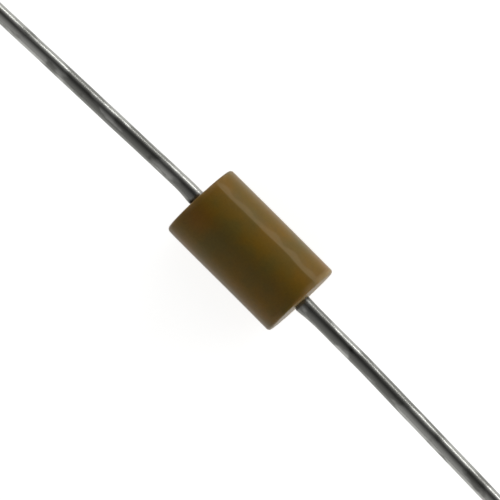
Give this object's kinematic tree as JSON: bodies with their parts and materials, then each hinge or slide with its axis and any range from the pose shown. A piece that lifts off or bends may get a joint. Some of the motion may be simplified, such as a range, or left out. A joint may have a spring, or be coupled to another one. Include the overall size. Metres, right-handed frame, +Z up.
{
  "type": "axial ceramic capacitor",
  "caption": "Small tan-brown moulded cylinder with a tinned wire lead out of the middle of each end, for through-hole or point-to-point soldering.",
  "frame": {"origin": "on the surface that the part lies on, right under the middle of the case", "axes": "+X along the case from one wire to the other, +Z up from the surface; the wires swing a little towards -Y"},
  "size_m": [0.055, 0.0026, 0.0025],
  "materials": {
    "moulded_epoxy": "satin",
    "tinned_copper": "satin",
    "solder": "satin",
    "fired_silver": "matte",
    "barium_titanate": "matte",
    "plate_metal": "matte"
  },
  "bodies": {
    "root": {"case": "moulded_epoxy", "ceramic_chip": "barium_titanate", "electrode_01": "plate_metal", "electrode_02": "plate_metal", "electrode_03": "plate_metal", "electrode_04": "plate_metal", "electrode_05": "plate_metal", "electrode_06": "plate_metal", "electrode_07": "plate_metal", "electrode_08": "plate_metal", "electrode_09": "plate_metal", "electrode_10": "plate_metal", "electrode_11": "plate_metal", "electrode_12": "plate_metal", "termination_left": "fired_silver", "solder_left": "solder", "lead_left": "tinned_copper", "termination_right": "fired_silver", "solder_right": "solder", "lead_right": "tinned_copper"}
  },
  "joints": []
}
